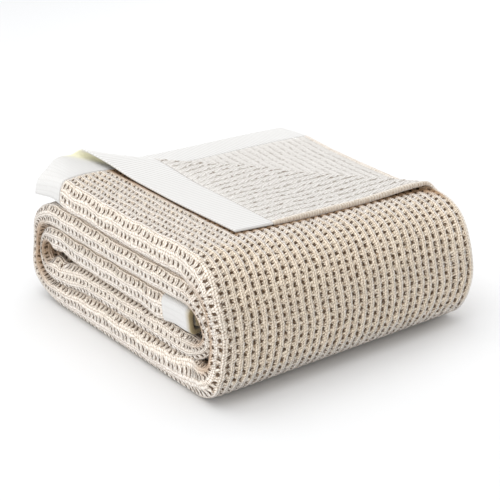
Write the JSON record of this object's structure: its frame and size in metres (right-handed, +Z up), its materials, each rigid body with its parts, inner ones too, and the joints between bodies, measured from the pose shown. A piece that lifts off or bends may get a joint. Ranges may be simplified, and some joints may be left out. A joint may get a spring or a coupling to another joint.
{
  "type": "folded throw blanket",
  "caption": "Lofty waffle-weave throw blanket with a ribbed band across each short end, folded lengthwise and rolled flat, with one corner of its top layer turned back.",
  "frame": {"origin": "under the middle of the folded bundle, on the surface that it lies on", "axes": "+X from the folded side to the open end of the layers, +Y from the rolled front to the back, +Z up"},
  "size_m": [0.3358, 0.347, 0.161],
  "materials": {
    "waffle_cloth": "soft beige pile yarn woven in a lofty waffle, with deep brown pits between its ribs and bars",
    "ribbed_band": "off-white band of the same yarn with fine ribs across it"
  },
  "bodies": {
    "root": {"throw_cloth": "waffle_cloth", "end_band_outer": "ribbed_band", "end_band_inner": "ribbed_band"}
  },
  "joints": []
}
